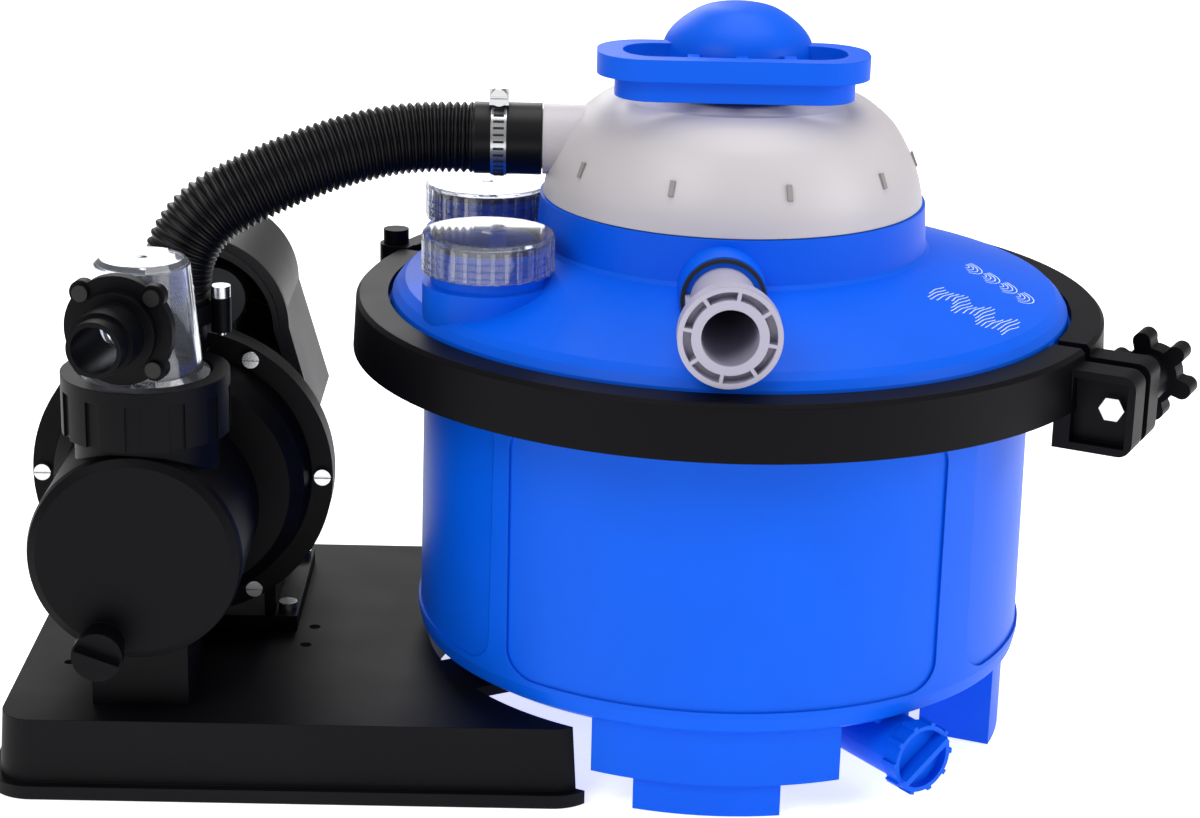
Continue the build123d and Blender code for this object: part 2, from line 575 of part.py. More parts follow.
def make_valve_handle():
    """Blue press-and-turn handle: domed hub and a wide hand loop in front of it."""
    hub = turned(softened([
        (0, HANDLE_Z + 1), (HUB_R - 1, HANDLE_Z + 1), (HUB_R, HANDLE_Z + 12),
        (HUB_R - 1, HANDLE_Z + 20), (HUB_R - 4, HANDLE_Z + 26), (HUB_R - 10, HANDLE_Z + 32),
        (HUB_R - 19, HUB_TOP_Z - 3.2), (HUB_R - 28, HUB_TOP_Z - 0.7), (0, HUB_TOP_Z),
    ], 2, 8))
    hub -= disc(0, 0, HANDLE_Z, HANDLE_Z + 11, STEM_R + 0.05)
    hub -= ring(0, 0, HANDLE_Z, HANDLE_Z + 22, HUB_R - 5, 15)
    length = 2 * HANDLE_HALF
    depth = 2 * HANDLE_DEPTH
    height = HANDLE_TOP_Z - HANDLE_BAND_Z
    at = Pos(HANDLE_X, HANDLE_Y, HANDLE_BAND_Z)
    loop = at * extrude(RectangleRounded(length, depth, HANDLE_DEPTH - 4), height)
    lower = Pos(HANDLE_X + 1, HANDLE_Y, HANDLE_Z)
    loop += lower * extrude(RectangleRounded(length - 16, depth - 12, HANDLE_DEPTH - 9), height + 2)
    hollow = Pos(HANDLE_X + 1, HANDLE_Y, HANDLE_Z - 1)
    loop -= hollow * extrude(RectangleRounded(length - 24, depth - 20, HANDLE_DEPTH - 12), 40)
    loop -= disc(0, 0, HANDLE_Z - 1, HANDLE_TOP_Z + 1, HUB_R - 2)
    for x in (-24, 0, 24):
        loop += block(x - 3, x + 3, HANDLE_Y - HANDLE_DEPTH + 9, -HUB_R + 6, HANDLE_Z + 8,
                      HANDLE_TOP_Z - 2)
    save("valve_handle", hub + loop)


# ---- flow parts inside the tank ----------------------------------------------------------------
def make_internals():
    """Diffuser under the valve, standpipe, collector hub and eight slotted laterals."""
    save("standpipe", ring(0, 0, 72.05, LID_TOP_Z - 12.2, 14, 11.5))
    diffuser = turned([(15, 262), (48, 250), (48, 252.5), (18, 265), (18, 268.6), (15, 268.6)])
    save("diffuser", diffuser)
    hub = disc(0, 0, 54, 72, 24) - disc(0, 0, 58, 73, 11.5)
    save("collector_hub", hub)
    laterals = []
    for index in range(8):
        out = heading(22.5 + index * 45)
        arm = along(polar(24.05, 22.5 + index * 45, 63), out, 7, 86)
        for cut in range(9):
            slit = polar(40 + cut * 8, 22.5 + index * 45, 63)
            arm -= Plane(origin=slit, z_dir=out) * Pos(0, 6, 0) * Box(16, 4, 1.2)
        laterals.append(arm)
    save("laterals", *laterals)


# ---- base tray ---------------------------------------------------------------------------------
def make_base_tray():
    """Hollow tray with a drafted wall, a foot lip, a bay for the tank and two fixing tongues."""
    width, depth = TRAY_X1 - TRAY_X0, TRAY_Y1 - TRAY_Y0
    at = Pos((TRAY_X0 + TRAY_X1) / 2, (TRAY_Y0 + TRAY_Y1) / 2, 0)
    top = RectangleRounded(width, depth, TRAY_CORNER)
    lip = RectangleRounded(width + 2 * TRAY_LIP, depth + 2 * TRAY_LIP, TRAY_CORNER + TRAY_LIP)
    base = RectangleRounded(width + 5, depth + 5, TRAY_CORNER + 2)
    tray = at * loft([base.face(), Pos(0, 0, TRAY_Z) * top.face()])
    tray += at * extrude(lip, TRAY_LIP_H)
    inner_low = RectangleRounded(width - 2, depth - 2, TRAY_CORNER)
    inner_top = RectangleRounded(width - 7, depth - 7, TRAY_CORNER - 3)
    bay = disc(0, 0, -1, TRAY_Z + 1, SKIRT_R + 1.6)
    hollow = at * loft([Pos(0, 0, -1) * inner_low.face(),
                        Pos(0, 0, TRAY_Z - TRAY_WALL) * inner_top.face()])
    hollow -= disc(0, 0, -2, TRAY_Z + 1, SKIRT_R + 1.6 + TRAY_WALL)
    tray = tray - bay - hollow
    for angle in TONGUE_ANGLES:
        tongue = block(TONGUE_R, SKIRT_R + 4, -TONGUE_W / 2, TONGUE_W / 2, TRAY_Z - 6, TRAY_Z)
        hole_x = TONGUE_R + 14
        tongue -= disc(hole_x, 0, 0, TRAY_Z + 1, 2.4)
        tray += Rot(0, 0, angle) * tongue
    for x, y in ((-339.0, -67.0), (-219.5, -38.0), (-217.0, -13.0)):
        tray -= disc(x, y, 30, TRAY_Z + 1, 3)
    screws = []
    for angle in TONGUE_ANGLES:
        x, y, _ = polar(TONGUE_R + 14, angle)
        head = disc(x, y, TRAY_Z - 9.1, TRAY_Z - 6.05, 4.5)
        screws.append(head + disc(x, y, TRAY_Z - 7, TANK_FLOOR_Z, 2.0))
    save("base_tray", tray)
    return screws


# ---- pump, wet end -----------------------------------------------------------------------------
def make_wet_end():
    """One moulding holds the strainer pot and the volute; its cover carries the shaft seal."""
    body = y_turned([
        (0, VOLUTE_Y0), (58, VOLUTE_Y0), (65, VOLUTE_Y0 + 7), (67.5, VOLUTE_Y1 - 10),
        (VOLUTE_R, VOLUTE_Y1 - 10), (VOLUTE_R, VOLUTE_Y1), (0, VOLUTE_Y1),
    ], PUMP_X, SHAFT_Z)
    pot = y_turned([
        (0, POT_Y0), (POT_R - 5, POT_Y0), (POT_R - 1, POT_Y0 + 2), (POT_R, POT_Y0 + 6),
        (POT_R - 1, VOLUTE_Y0 + 6), (0, VOLUTE_Y0 + 6),
    ], POT_X, POT_Z)
    body += pot
    body += disc(BASKET_X, BASKET_Y, POT_Z, POT_NECK_Z, POT_NECK_R)
    body += disc(PUMP_X, OUTLET_Y, SHAFT_Z + 40, OUTLET_Z - 34, OUTLET_R + 1.2)
    body += disc(PUMP_X, OUTLET_Y, SHAFT_Z + 40, OUTLET_Z, OUTLET_R)
    body += block(POT_X - 24, POT_X + 24, -120, -70, FOOT_Z, POT_Z - 30)
    body -= disc(BASKET_X, BASKET_Y, POT_Z - 36, POT_NECK_Z + 1, POT_NECK_R - POT_WALL)
    body -= y_disc(POT_X, POT_Z, POT_Y0 + POT_WALL, VOLUTE_Y0 + 2, POT_R - POT_WALL - 1)
    body -= y_disc(PUMP_X, SHAFT_Z, VOLUTE_Y0 - 14, VOLUTE_Y0 + 20, 17)
    body -= y_disc(PUMP_X, SHAFT_Z, VOLUTE_Y0 + 5, VOLUTE_Y1 + 1, 58)
    body -= disc(PUMP_X, OUTLET_Y, SHAFT_Z + 30, OUTLET_Z + 1, OUTLET_R - 3)
    body -= block(POT_X - 20, POT_X + 20, -116, -74, FOOT_Z - 1, POT_Z - POT_R - 2)
    for x, z in flange_screw_places():
        body -= y_disc(x, z, VOLUTE_Y1 - 12, VOLUTE_Y1 + 1, 2.2 + SCREW_FIT)
    drain = along((POT_X - 16, POT_Y0 + 14, PUMP_DRAIN_Z), (0, -1, 0), 11, 24)
    body += drain - y_disc(POT_X, POT_Z, POT_Y0 + POT_WALL, VOLUTE_Y0 + 2, POT_R - POT_WALL - 1)
    body -= along((POT_X - 16, POT_Y0 + 20, PUMP_DRAIN_Z), (0, -1, 0), 6, 40)
    save("pump_body", body)
    cover = y_disc(PUMP_X, SHAFT_Z, VOLUTE_Y1 + 0.02, VOLUTE_Y1 + 6, VOLUTE_R)
    cover += y_disc(PUMP_X, SHAFT_Z, VOLUTE_Y1 + 5, MOTOR_Y0 - 0.02, 46)
    cover -= y_disc(PUMP_X, SHAFT_Z, VOLUTE_Y1 - 1, MOTOR_Y0 + 1, 14)
    for x, z in flange_screw_places():
        cover -= y_disc(x, z, VOLUTE_Y1 - 1, VOLUTE_Y1 + 8, 2.2 + SCREW_FIT)
    save("pump_cover_plate", cover)
    screws = []
    for x, z in flange_screw_places():
        shank = y_disc(x, z, VOLUTE_Y1 - 12, VOLUTE_Y1 + 6, 2.2)
        head = y_disc(x, z, VOLUTE_Y1 - 13.2, VOLUTE_Y1 - 10.05, 4.4)
        slot = block(x - 5, x + 5, VOLUTE_Y1 - 14, VOLUTE_Y1 - 12.2, z - 0.6, z + 0.6)
        screws.append(head + shank - slot)
    save("pump_flange_screws", *screws)
    seal = y_ring(PUMP_X, SHAFT_Z, VOLUTE_Y1 + 0.5, MOTOR_Y0 - 0.6, 13.9, SHAFT_R + 0.4)
    save("shaft_seal", seal)


def flange_screw_places():
    """Centres of the volute's flange screws, as (x, z) pairs."""
    places = []
    for index in range(FLANGE_SCREWS):
        turn = radians(index * 360 / FLANGE_SCREWS)
        places.append((PUMP_X + FLANGE_SCREW_R * cos(turn), SHAFT_Z + FLANGE_SCREW_R * sin(turn)))
    return places


def make_strainer():
    """Basket, ring seal, clear lid, notched lock ring and the suction adapter on the lid."""
    x, y = BASKET_X, BASKET_Y
    basket_top = POT_NECK_Z - 1
    basket = ring(x, y, POT_Z - 28, basket_top - 2, 25, 23.6) + disc(x, y, POT_Z - 28, POT_Z - 26, 25)
    basket += ring(x, y, basket_top - 3, basket_top, POT_NECK_R - POT_WALL - 0.4, 23.6)
    for index in range(16):
        window = Rot(0, 0, index * 22.5) * block(20, 30, -2.6, 2.6, POT_Z - 20, basket_top - 10)
        basket -= Pos(x, y, 0) * window
    for level in (14, 32):
        basket += ring(x, y, POT_Z - 28 + level, POT_Z - 26 + level, 25, 23.6)
    save("strainer_basket", basket)
    z_seal = POT_NECK_Z + 0.02
    save("strainer_seal", ring(x, y, z_seal, z_seal + 2.5, POT_NECK_R - 0.3, POT_NECK_R - 3.8))
    z0 = z_seal + 2.5 + 0.02
    lid = turned([
        (0, z0), (POT_NECK_R, z0), (POT_NECK_R, z0 + 5), (LID_STEP_R, z0 + 5), (LID_STEP_R - 1, z0 + 9),
        (CLEAR_R, z0 + 11),
        (CLEAR_TOP_R, CLEAR_TOP_Z - 3), (CLEAR_TOP_R - 3, CLEAR_TOP_Z), (0, CLEAR_TOP_Z),
    ], x, y)
    cavity = turned([
        (0, z0 - 1), (POT_NECK_R - 4, z0 - 1), (POT_NECK_R - 4, z0 + 3),
        (CLEAR_R - CLEAR_WALL, z0 + 10), (CLEAR_TOP_R - CLEAR_WALL, CLEAR_TOP_Z - CLEAR_WALL - 1),
        (0, CLEAR_TOP_Z - CLEAR_WALL),
    ], x, y)
    away = heading(-90 - SUCTION_YAW)
    port_at = (x, y, SUCTION_Z)
    lid += along(port_at, away, 17, CLEAR_R + 3)
    lid -= cavity
    lid -= along(port_at, away, 13.5, 60)
    lid -= disc(x, y, CLEAR_TOP_Z - 1, CLEAR_TOP_Z + 1, 2.4)
    save("strainer_lid", lid)
    lock = disc(x, y, RING_Z0, RING_Z1, RING_R)
    lock -= disc(x, y, RING_Z0 - 1, z0 + 5 + SEAT, POT_NECK_R + RUN)
    lock -= disc(x, y, RING_Z0, RING_Z1 + 1, LID_STEP_R + RUN)
    for index in range(RING_CUTS):
        notch = Rot(0, 0, index * 360 / RING_CUTS) * block(RING_R - 1.6, RING_R + 2, -4, 4,
                                                          RING_Z0 - 1, RING_Z1 - 7)
        lock -= Pos(x, y, 0) * notch
    save("strainer_lock_ring", lock)
    face = CLEAR_R + 3.05
    adapter_at = (x + away[0] * face, y + away[1] * face, SUCTION_Z)
    frame = Plane(origin=adapter_at, z_dir=away, x_dir=heading(-SUCTION_YAW))
    adapter = along(adapter_at, away, SUCTION_PLATE_R, 6)
    for turn in (45, 135, 225, 315):
        adapter += frame * Rot(0, 0, turn) * Pos(SUCTION_PLATE_R - 2, 0, 3) * Cylinder(6, 6)
    adapter += along(adapter_at, away, 20, 12) + along(adapter_at, away, 15.5, SUCTION_REACH + 6)
    adapter += along(adapter_at, away, 13.6, SUCTION_REACH + 16)
    adapter -= along(adapter_at, away, 11.2, 60)
    for turn in (45, 135, 225, 315):
        adapter -= frame * Rot(0, 0, turn) * Pos(SUCTION_PLATE_R - 2, 0, 3) * Cylinder(2.2, 20)
    save("suction_adapter", adapter)
    screws = []
    for turn in (45, 135, 225, 315):
        spot = frame * Rot(0, 0, turn) * Pos(SUCTION_PLATE_R - 2, 0, 0)
        screws.append(spot * (Pos(0, 0, 3) * Cylinder(2.0, 8) + Pos(0, 0, 7.3) * Cylinder(4, 2.4)))
    save("adapter_screws", *screws)


def make_pump_drain():
    """Screw cap on the strainer pot's drain, with a wing grip and its seal."""
    x = POT_X - 16
    face = POT_Y0 - 10.02
    save("pump_drain_seal", y_ring(x, PUMP_DRAIN_Z, face - 1.2, face, 10.4, 6.4))
    y0 = face - 1.2 - SEAT
    cap = y_disc(x, PUMP_DRAIN_Z, y0 - 7, y0, 12.5)
    cap += Pos(x, y0 - 9, PUMP_DRAIN_Z) * Rot(0, 20, 0) * Box(23, 7, 3.4)
    cap += y_disc(x, PUMP_DRAIN_Z, y0 - 1, y0 + 10, 6 - RUN)
    save("pump_drain_cap", cap)


# ---- pump, motor end ---------------------------------------------------------------------------
def make_motor():
    """Motor shell, stator, rotor, shaft, bearings, impeller, fan, fan cover and hood."""
    x, z = PUMP_X, SHAFT_Z
    y0, y1 = MOTOR_Y0, MOTOR_Y1
    housing = y_disc(x, z, y0, y1, MOTOR_R) - y_disc(x, z, y0 + 9, y1 + 1, MOTOR_R - 3)
    housing -= y_disc(x, z, y0 - 1, y0 + 10, SHAFT_R + 6)
    save("motor_housing", housing)
    save("stator", y_ring(x, z, y0 + 24, y1 - 28, MOTOR_R - 3.05, 28))
    shield = y_disc(x, z, y1 + 0.02, y1 + 6, MOTOR_R) - y_disc(x, z, y1 - 1, y1 + 7, SHAFT_R + 6)
    save("motor_end_shield", shield)
    save("motor_bearings", y_ring(x, z, y0 + 0.6, y0 + 8.6, SHAFT_R + 5.95, SHAFT_R + 0.05),
         y_ring(x, z, y1 + 0.3, y1 + 5.8, SHAFT_R + 5.95, SHAFT_R + 0.05))
    shaft = y_disc(x, z, VOLUTE_Y0 + 16, y1 + 20, SHAFT_R)
    save("motor_shaft", shaft)
    save("motor_rotor", y_ring(x, z, y0 + 24, y1 - 28, 27.4, SHAFT_R))
    impeller = y_ring(x, z, VOLUTE_Y0 + 24, VOLUTE_Y0 + 27, 50, SHAFT_R)
    impeller += y_ring(x, z, VOLUTE_Y0 + 12, VOLUTE_Y0 + 27, 12, SHAFT_R)
    for index in range(6):
        vane = Rot(0, index * 60, 0) * Pos(28, 0, 0) * Rot(0, 35, 0) * block(
            -20, 19, VOLUTE_Y0 + 12, VOLUTE_Y0 + 25, -1.2, 1.2)
        impeller += Pos(x, 0, z) * vane
    impeller -= y_disc(x, z, VOLUTE_Y0 + 10, VOLUTE_Y0 + 30, SHAFT_R)
    save("impeller", impeller)
    fan = y_ring(x, z, y1 + 8, y1 + 19, 13, SHAFT_R)
    for index in range(8):
        fan += Pos(x, 0, z) * Rot(0, index * 45, 0) * block(10, 44, y1 + 9, y1 + 17, -1, 1)
    fan -= y_disc(x, z, y1, y1 + 30, SHAFT_R)
    save("cooling_fan", fan)
    cowl = y_ring(x, z, y1 + 6.05, y1 + 27, MOTOR_R, MOTOR_R - 2.5)
    grille = y_disc(x, z, y1 + 24.5, y1 + 27, MOTOR_R)
    for index in range(9):
        slot_x = -36 + index * 9
        half = (44 ** 2 - slot_x ** 2) ** 0.5
        grille -= block(x + slot_x - 2, x + slot_x + 2, y1 + 20, y1 + 30, z - half, z + half)
    save("fan_cover", cowl + grille)


def hood_section(r, low_r):
    """Outline of the motor hood: an arch on straight legs that splay to the motor's width."""
    leg = SHAFT_Z + 4
    arch = CenterArc((PUMP_X, HOOD_Z), r, 0, 180)
    right_foot, left_foot = (PUMP_X + low_r, leg), (PUMP_X - low_r, leg)
    sides = [Line(arch @ 1, left_foot), Line(left_foot, right_foot), Line(right_foot, arch @ 0)]
    return make_face(arch.edges() + [side.edge() for side in sides])


def along_y(section, y0, y1):
    """Extrude an (x, z) outline between two stations along Y."""
    plane = Plane(origin=(0, y1, 0), x_dir=(1, 0, 0), z_dir=(0, -1, 0))
    return extrude(plane * section, y1 - y0)


def make_hood_and_foot(tank_screws):
    """Rain hood over the motor, the capacitor under it, the cable gland and the motor foot."""
    wide = MOTOR_R + 8
    hood = along_y(hood_section(HOOD_R, wide), HOOD_Y0, HOOD_Y1)
    hood += along_y(hood_section(HOOD_R + 5, wide + 4), HOOD_Y0 + 4, HOOD_Y0 + 8)
    inside = along_y(hood_section(HOOD_R - HOOD_WALL, wide - HOOD_WALL), HOOD_Y0 - 1,
                     HOOD_Y1 - HOOD_WALL)
    hood -= inside
    hood -= y_disc(PUMP_X, SHAFT_Z, HOOD_Y0 - 2, HOOD_Y1 + 2, MOTOR_R + SEAT)
    hood -= block(PUMP_X - 90, PUMP_X + 90, HOOD_Y0 - 2, HOOD_Y1 + 2, 100, SHAFT_Z + 4.2)
    gland_x = PUMP_X - 24
    hood -= y_disc(gland_x, HOOD_Z + 6, HOOD_Y1 - 10, HOOD_Y1 + 5, 8)
    save("motor_hood", hood)
    gland = y_ring(gland_x, HOOD_Z + 6, HOOD_Y1 - 8, HOOD_Y1 + 10, 7.8, 4)
    gland += y_ring(gland_x, HOOD_Z + 6, HOOD_Y1 + 0.02, HOOD_Y1 + 6, 11, 4)
    save("cable_gland", gland)
    capacitor = y_disc(PUMP_X + 8, HOOD_Z + 12, HOOD_Y0 + 18, HOOD_Y0 + 74, 17)
    capacitor += block(PUMP_X - 3, PUMP_X + 19, HOOD_Y0 + 24, HOOD_Y0 + 68, SHAFT_Z + MOTOR_R - 4,
                       HOOD_Z + 2)
    capacitor -= y_disc(PUMP_X, SHAFT_Z, 0, 200, MOTOR_R + 0.03)
    save("capacitor", capacitor)
    foot_x0, foot_x1 = PUMP_X - 58, PUMP_X + 58
    plinth = block(foot_x0, foot_x1, -18, 84, FOOT_Z + 0.02, FOOT_Z + 8)
    plinth += block(PUMP_X - 46, PUMP_X + 46, -12, 78, FOOT_Z + 4, SHAFT_Z - 30)
    plinth -= block(PUMP_X - 40, PUMP_X + 40, -13, 79, FOOT_Z + 8, SHAFT_Z)
    plinth += block(PUMP_X - 46, PUMP_X + 46, 20, 60, SHAFT_Z - 60, SHAFT_Z - 36)
    plinth -= y_disc(PUMP_X, SHAFT_Z, -30, 100, MOTOR_R + 0.03)
    plinth -= y_disc(PUMP_X, SHAFT_Z, -30, MOTOR_Y0, VOLUTE_R + SEAT)
    bolts = []
    for x in (foot_x0 + 6, foot_x1 - 6):
        for y in (-6, 72):
            plinth -= disc(x, y, FOOT_Z - 1, FOOT_Z + 10, 2.8)
            bolts.append(disc(x, y, FOOT_Z + 8.02, FOOT_Z + 12, 5) + disc(x, y, FOOT_Z + 0.1,
                                                                         FOOT_Z + 9, 2.6))
    save("motor_foot", plinth)
    save("base_screws", *bolts, *tank_screws)


# ---- hose --------------------------------------------------------------------------------------
def hose_radii(points):
    """The largest smooth bend at each inner point: 0.45 of the shorter run over tan(half turn)."""
    radii = []
    for before, here, after in zip(points, points[1:], points[2:]):
        run_in = Vector(*here) - Vector(*before)
        run_out = Vector(*after) - Vector(*here)
        turn = run_in.get_angle(run_out)
        shorter = min(run_in.length, run_out.length)
        radii.append(0.45 * shorter / (sin(radians(turn / 2)) / cos(radians(turn / 2))))
    return radii


def make_hose():
    """Corrugated hose as a plain tube, its two cuffs and the two hose clamps."""
    radii = hose_radii(HOSE_POINTS)
    print("hose bend radii", [round(value) for value in radii])
    path = FilletPolyline(*HOSE_POINTS, radius=radii)
    start = Plane(origin=path @ 0, z_dir=path % 0)
    hose = sweep(start * Circle(HOSE_R) - start * Circle(HOSE_BORE_R), path)
    section = pi * (HOSE_R ** 2 - HOSE_BORE_R ** 2)
    print("hose length", round(path.length, 1), "volume ratio", round(
        hose.volume / (section * path.length), 4))
    save("hose", hose)
    valve_cuff = along(HOSE_POINTS[-1], (1, 0, 0), CUFF_R, 35) - along(
        (-140, 0, VALVE_PORT_Z), (1, 0, 0), VALVE_SPIGOT_R + 0.03, 60)
    end = HOSE_POINTS[0]
    pump_cuff = along(end, (0, 0, -1), CUFF_R, PUMP_CUFF_LENGTH)
    pump_cuff -= disc(end[0], end[1], 200, 260, OUTLET_R + 0.03)
    save("hose_cuffs", valve_cuff, pump_cuff)
    band_x = -121.0
    band = along((band_x - 4, 0, VALVE_PORT_Z), (1, 0, 0), CUFF_R + 0.75, 8)
    band -= along((-140, 0, VALVE_PORT_Z), (1, 0, 0), CUFF_R + 0.03, 60)
    top = VALVE_PORT_Z + CUFF_R
    band += block(band_x - 5, band_x + 5, -9, 7, top + 0.3, top + 9)
    band -= y_disc(band_x, top + 4.8, -20, 20, 3.1)
    save("worm_clamp", band)
    worm = y_disc(band_x, top + 4.8, -13, 6, 3) + y_disc(band_x, top + 4.8, -13, -9.1, 4.4)
    worm -= block(band_x - 5, band_x + 5, -14, -12, top + 4.2, top + 5.4)
    clip_z = end[2] - 12
    clip = ring(end[0], end[1], clip_z, clip_z + 9, CUFF_R + 2.2, CUFF_R + 0.03)
    lug_x, lug_y = end[0] + CUFF_R + 5, end[1] - 6
    clip += disc(lug_x, lug_y, clip_z - 5, clip_z + 13, 5.2)
    clip -= disc(lug_x, lug_y, clip_z - 12, clip_z + 18, 2.3)
    clip -= disc(end[0], end[1], clip_z - 12, clip_z + 18, CUFF_R + 0.03)
    save("pump_clip", clip)
    screw = disc(lug_x, lug_y, clip_z - 7, clip_z + 14, 2.2)
    screw += disc(lug_x, lug_y, clip_z + 13.05, clip_z + 19, 5.0)
    save("hose_clamp_screws", worm, screw)



# ---- the whole set -----------------------------------------------------------------------------
def write_all():
    """Move the set to the middle of its footprint and write one STEP per node."""
    free = {"hose"}
    whole = Compound([s for name, solids in nodes.items() if name not in free for s in solids])
    box = whole.bounding_box()
    shift = Pos(-(box.min.X + box.max.X) / 2, -(box.min.Y + box.max.Y) / 2, -box.min.Z)
    print("shift", [round(v, 4) for v in shift.position], "size", [round(v, 2) for v in box.size])
    os.makedirs("parts", exist_ok=True)
    for name, solids in nodes.items():
        moved = [shift * solid for solid in solids]
        shape = moved[0] if len(moved) == 1 else Compound(moved)
        export_step(shape, f"parts/{name}.step")


fixing_screws = make_base_tray()
make_tank_body()
make_drain_cap()
make_tank_lid()
for cap_name, (cap_x, cap_y) in zip(("front", "rear"), NECK_CENTRES):
    make_neck_cap(cap_name, cap_x, cap_y)
make_return_connector()
make_clamp()
make_valve()
make_valve_handle()
make_internals()
make_wet_end()
make_strainer()
make_pump_drain()
make_motor()
make_hood_and_foot(fixing_screws)
make_hose()
write_all()
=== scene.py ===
import json
import logging
import math
from dataclasses import dataclass

import bpy
from mathutils import Matrix, Vector


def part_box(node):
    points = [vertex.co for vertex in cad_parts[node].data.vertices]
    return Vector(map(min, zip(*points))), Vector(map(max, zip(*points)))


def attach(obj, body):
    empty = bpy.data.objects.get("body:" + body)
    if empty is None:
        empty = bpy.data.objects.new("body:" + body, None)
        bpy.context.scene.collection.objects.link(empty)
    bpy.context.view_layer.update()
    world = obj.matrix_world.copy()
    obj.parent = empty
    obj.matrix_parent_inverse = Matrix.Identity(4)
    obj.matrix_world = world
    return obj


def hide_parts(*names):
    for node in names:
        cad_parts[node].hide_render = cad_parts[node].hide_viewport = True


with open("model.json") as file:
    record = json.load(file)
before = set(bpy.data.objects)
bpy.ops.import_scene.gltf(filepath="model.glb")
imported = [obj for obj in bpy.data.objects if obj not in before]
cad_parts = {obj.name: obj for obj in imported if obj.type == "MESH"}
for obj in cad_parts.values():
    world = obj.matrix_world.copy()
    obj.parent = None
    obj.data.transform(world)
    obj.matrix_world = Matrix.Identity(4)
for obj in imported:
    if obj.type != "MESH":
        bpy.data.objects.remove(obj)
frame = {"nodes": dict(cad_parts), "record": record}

LOG = logging.getLogger("filter_set")
MM = 0.001

# Shared by every moulded finish.
FLOW_SCALE = 25.0
TONE_DETAIL = 2.0
ROUGHNESS_SWING = 0.1
BUMP_STRENGTH = 0.5
BEVEL_SAMPLES = 4

# Corners round a thread ring, and round its section.
RING_SIDES = 72
SECTION_SIDES = 10


def linear(hex_colour: str) -> tuple[float, float, float, float]:
    """Turn an sRGB hex colour to linear RGBA.

    Args:
        hex_colour: Six hex digits.

    Returns:
        Linear red, green, blue and an alpha of 1.
    """
    parts = [int(hex_colour[i:i + 2], 16) / 255 for i in (0, 2, 4)]
    red, green, blue = [c / 12.92 if c <= 0.04045 else ((c + 0.055) / 1.055) ** 2.4 for c in parts]
    return red, green, blue, 1.0


def add_node(tree: bpy.types.NodeTree, kind: str, links: dict | None = None,
             values: dict | None = None, **settings: object) -> bpy.types.Node:
    """Add one node with its settings, socket values and incoming links.

    Args:
        tree: Node tree that takes the node.
        kind: Blender's node type.
        links: Input socket name or index to the output socket that feeds it.
        values: Input socket name or index to a constant.
        **settings: Properties of the node itself.

    Returns:
        The new node.
    """
    node = tree.nodes.new(kind)
    for name, value in settings.items():
        setattr(node, name, value)
    for key, value in (values or {}).items():
        node.inputs[key].default_value = value
    for key, source in (links or {}).items():
        tree.links.new(source, node.inputs[key])
    return node


@dataclass(frozen=True)
class Moulding:
    """An injection-moulded or pressed finish, with a fine grain and softly rounded edges."""

    name: str
    colour: str
    roughness: float
    ior: float = 1.5
    metallic: float = 0.0
    grain_mm: float = 0.9
    grain_height_mm: float = 0.02
    edge_mm: float = 0.6
    mottle: float = 0.06
    transmission: float = 0.0

    def build(self) -> bpy.types.Material:
        """Make the Blender material.

        Returns:
            A material on Object coordinates.
        """
        material = bpy.data.materials.new(self.name)
        material.use_nodes = True
        tree = material.node_tree
        shader = tree.nodes["Principled BSDF"]
        shader.inputs["Metallic"].default_value = self.metallic
        if not self.metallic:
            shader.inputs["IOR"].default_value = self.ior
        shader.inputs["Transmission Weight"].default_value = self.transmission
        place = add_node(tree, "ShaderNodeTexCoord").outputs["Object"]
        # Flow marks: broad, faint changes of tone some 40 mm across.
        flow = add_node(tree, "ShaderNodeTexNoise", {"Vector": place},
                        {"Scale": FLOW_SCALE, "Detail": TONE_DETAIL})
        base = linear(self.colour)
        dark = tuple(c * (1 - self.mottle) for c in base[:3]) + (1.0,)
        light = tuple(min(1.0, c * (1 + self.mottle)) for c in base[:3]) + (1.0,)
        tone = add_node(tree, "ShaderNodeMix", {0: flow.outputs["Fac"]}, {6: dark, 7: light},
                        data_type="RGBA")
        tree.links.new(tone.outputs[2], shader.inputs["Base Color"])
        wear = add_node(tree, "ShaderNodeMapRange", {"Value": flow.outputs["Fac"]},
                        {"To Min": self.roughness * (1 - ROUGHNESS_SWING),
                         "To Max": self.roughness * (1 + ROUGHNESS_SWING)})
        tree.links.new(wear.outputs["Result"], shader.inputs["Roughness"])
        grain = add_node(tree, "ShaderNodeTexNoise", {"Vector": place},
                         {"Scale": 1 / (self.grain_mm * MM), "Detail": TONE_DETAIL})
        edge = add_node(tree, "ShaderNodeBevel", values={"Radius": self.edge_mm * MM},
                        samples=BEVEL_SAMPLES)
        bump = add_node(tree, "ShaderNodeBump",
                        {"Height": grain.outputs["Fac"], "Normal": edge.outputs["Normal"]},
                        {"Distance": self.grain_height_mm * MM, "Strength": BUMP_STRENGTH})
        tree.links.new(bump.outputs["Normal"], shader.inputs["Normal"])
        return material


WHITE_PRINT = Moulding("white_pad_print", "DCEBFF", 0.5, edge_mm=0.05, mottle=0.02)
# Painted shade: a darker grey for the blocks in the dome's vent slots, standing in for the shade
# inside the slots.
SLOT_SHADE = Moulding("painted_slot_shade_grey", "8F8B89", 0.6, mottle=0.02)

